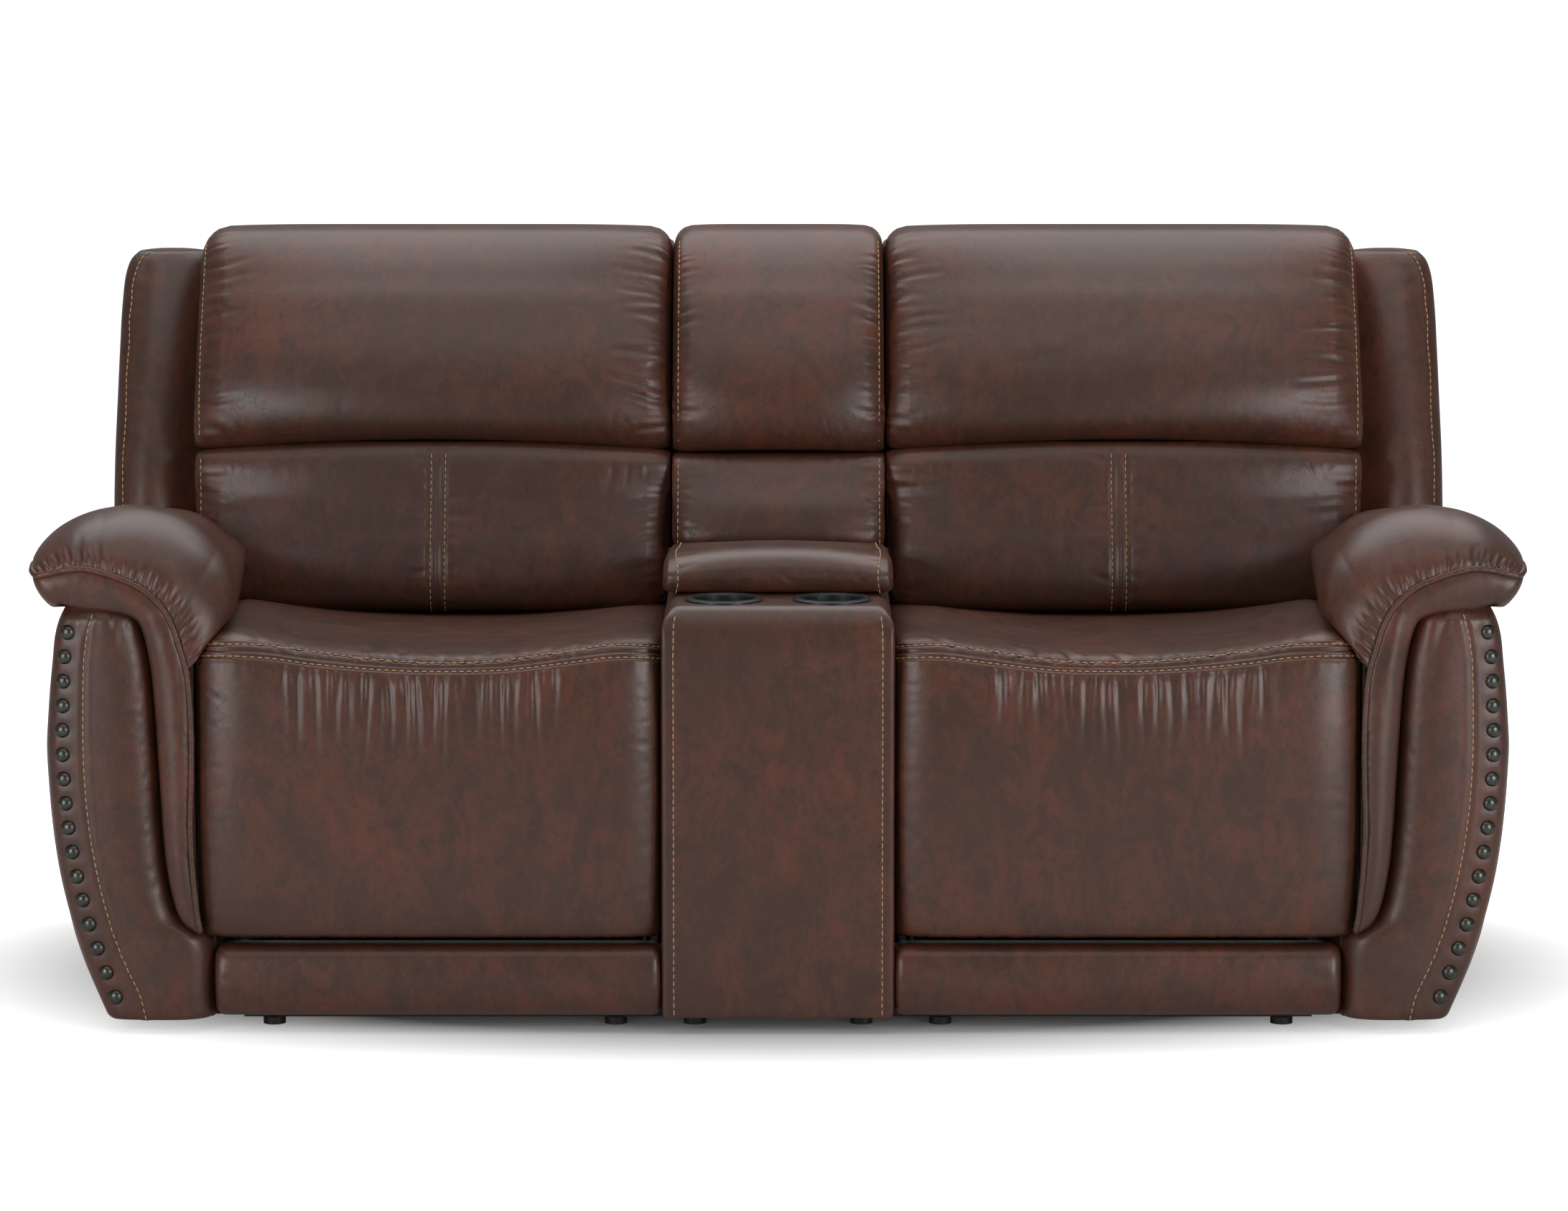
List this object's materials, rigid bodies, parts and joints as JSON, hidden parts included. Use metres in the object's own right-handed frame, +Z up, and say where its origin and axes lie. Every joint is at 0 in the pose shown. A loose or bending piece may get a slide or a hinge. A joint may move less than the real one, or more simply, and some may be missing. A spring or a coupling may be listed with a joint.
{
  "type": "reclining loveseat",
  "caption": "Reclining loveseat with pillow backs, a centre console with cup holders and a lidded bin, nailhead arms, swing-out footrests and tilting backs.",
  "frame": {"origin": "on the floor, under the middle of the closed loveseat's box", "axes": "+X along the seats to the viewer's right, +Y from the footrests to the backs, +Z up"},
  "size_m": [1.98, 1.04, 1.031],
  "materials": {
    "leather": "distressed semi-gloss",
    "wood_board": "raw board",
    "steel": "satin black",
    "spring_wire": "drawn wire",
    "nailhead": "antique dark",
    "cup": "dark satin",
    "release": "fine texture",
    "glide": "matte"
  },
  "bodies": {
    "base": {"base_frame": "wood_board", "glides": "glide", "nailheads": "nailhead", "console_box": "wood_board", "console_cover": "leather", "cup_holders": "cup", "console_hinge": "steel", "console_back_frame": "wood_board", "console_back_shell": "leather", "console_head_pillow": "leather", "console_lumbar_pillow": "leather", "left_front_rail": "leather", "right_front_rail": "leather", "left_arm_frame": "wood_board", "right_arm_frame": "wood_board", "left_arm_side": "leather", "right_arm_side": "leather", "left_arm_front": "leather", "right_arm_front": "leather", "left_arm_band": "leather", "right_arm_band": "leather", "left_arm_pad": "leather", "right_arm_pad": "leather", "left_release_cup": "release", "right_release_cup": "release", "left_mech_plates": "steel", "right_mech_plates": "steel", "left_seat_frame": "steel", "right_seat_frame": "steel", "left_seat_springs": "spring_wire", "right_seat_springs": "spring_wire", "left_seat_cushion": "leather", "right_seat_cushion": "leather"},
    "console_lid": {"console_lid_board": "wood_board", "console_lid_pad": "leather"},
    "left_back": {"left_back_frame": "wood_board", "left_back_shell": "leather", "left_wing": "leather", "left_head_pillow": "leather", "left_lumbar_pillow": "leather"},
    "left_footrest": {"left_footrest_board": "wood_board", "left_footrest_pad": "leather"},
    "left_front_cranks": {"left_front_cranks": "steel"},
    "left_front_couplers": {"left_front_couplers": "steel"},
    "left_rear_cranks": {"left_rear_cranks": "steel"},
    "left_rear_couplers": {"left_rear_couplers": "steel"},
    "left_release": {"left_release_handle": "release"},
    "right_back": {"right_back_frame": "wood_board", "right_back_shell": "leather", "right_wing": "leather", "right_head_pillow": "leather", "right_lumbar_pillow": "leather"},
    "right_footrest": {"right_footrest_board": "wood_board", "right_footrest_pad": "leather"},
    "right_front_cranks": {"right_front_cranks": "steel"},
    "right_front_couplers": {"right_front_couplers": "steel"},
    "right_rear_cranks": {"right_rear_cranks": "steel"},
    "right_rear_couplers": {"right_rear_couplers": "steel"},
    "right_release": {"right_release_handle": "release"}
  },
  "joints": [
    {"name": "console_lid", "type": "hinge", "parent": "base", "child": "console_lid", "pos_m": [0, -0.002, 0.582], "axis": [-1, 0, 0], "range_deg": [0, 80]},
    {"name": "left_recline", "type": "hinge", "parent": "base", "child": "left_back", "pos_m": [-0.464, 0.265, 0.3], "axis": [-1, 0, 0], "range_deg": [0, 35]},
    {"name": "left_footrest", "type": "hinge", "parent": "base", "child": "left_footrest", "pos_m": [-0.464, -0.552, 0.538], "axis": [-1, 0, 0], "range_deg": [0, 85]},
    {"name": "left_front_crank", "type": "hinge", "parent": "base", "child": "left_front_cranks", "pos_m": [-0.464, -0.35, 0.365], "axis": [-1, 0, 0], "range_deg": [0, 86]},
    {"name": "left_front_coupler", "type": "hinge", "parent": "left_front_cranks", "child": "left_front_couplers", "pos_m": [-0.464, -0.196, 0.207], "axis": [-1, 0, 0], "range_deg": [-86, 0]},
    {"name": "left_rear_crank", "type": "hinge", "parent": "base", "child": "left_rear_cranks", "pos_m": [-0.464, -0.3, 0.33], "axis": [-1, 0, 0], "range_deg": [0, 86]},
    {"name": "left_rear_coupler", "type": "hinge", "parent": "left_rear_cranks", "child": "left_rear_couplers", "pos_m": [-0.464, -0.146, 0.137], "axis": [-1, 0, 0], "range_deg": [-86, 0]},
    {"name": "left_release", "type": "hinge", "parent": "base", "child": "left_release", "pos_m": [-0.952, -0.16, 0.42], "axis": [0, 1, 0], "range_deg": [0, 30], "stiffness_Nm_per_rad": 1.5, "springref_deg": -17.19},
    {"name": "right_recline", "type": "hinge", "parent": "base", "child": "right_back", "pos_m": [0.464, 0.265, 0.3], "axis": [-1, 0, 0], "range_deg": [0, 35]},
    {"name": "right_footrest", "type": "hinge", "parent": "base", "child": "right_footrest", "pos_m": [0.464, -0.552, 0.538], "axis": [-1, 0, 0], "range_deg": [0, 85]},
    {"name": "right_front_crank", "type": "hinge", "parent": "base", "child": "right_front_cranks", "pos_m": [0.464, -0.35, 0.365], "axis": [-1, 0, 0], "range_deg": [0, 86]},
    {"name": "right_front_coupler", "type": "hinge", "parent": "right_front_cranks", "child": "right_front_couplers", "pos_m": [0.464, -0.196, 0.207], "axis": [-1, 0, 0], "range_deg": [-86, 0]},
    {"name": "right_rear_crank", "type": "hinge", "parent": "base", "child": "right_rear_cranks", "pos_m": [0.464, -0.3, 0.33], "axis": [-1, 0, 0], "range_deg": [0, 86]},
    {"name": "right_rear_coupler", "type": "hinge", "parent": "right_rear_cranks", "child": "right_rear_couplers", "pos_m": [0.464, -0.146, 0.137], "axis": [-1, 0, 0], "range_deg": [-86, 0]},
    {"name": "right_release", "type": "hinge", "parent": "base", "child": "right_release", "pos_m": [0.952, -0.16, 0.42], "axis": [0, -1, 0], "range_deg": [0, 30], "stiffness_Nm_per_rad": 1.5, "springref_deg": -17.19}
  ],
  "couplings": [
    {"joint": "left_front_crank", "follows": "left_footrest", "ratio": 1},
    {"joint": "left_front_coupler", "follows": "left_footrest", "ratio": -1},
    {"joint": "left_rear_crank", "follows": "left_footrest", "ratio": 1},
    {"joint": "left_rear_coupler", "follows": "left_footrest", "ratio": -1},
    {"joint": "right_front_crank", "follows": "right_footrest", "ratio": 1},
    {"joint": "right_front_coupler", "follows": "right_footrest", "ratio": -1},
    {"joint": "right_rear_crank", "follows": "right_footrest", "ratio": 1},
    {"joint": "right_rear_coupler", "follows": "right_footrest", "ratio": -1}
  ]
}
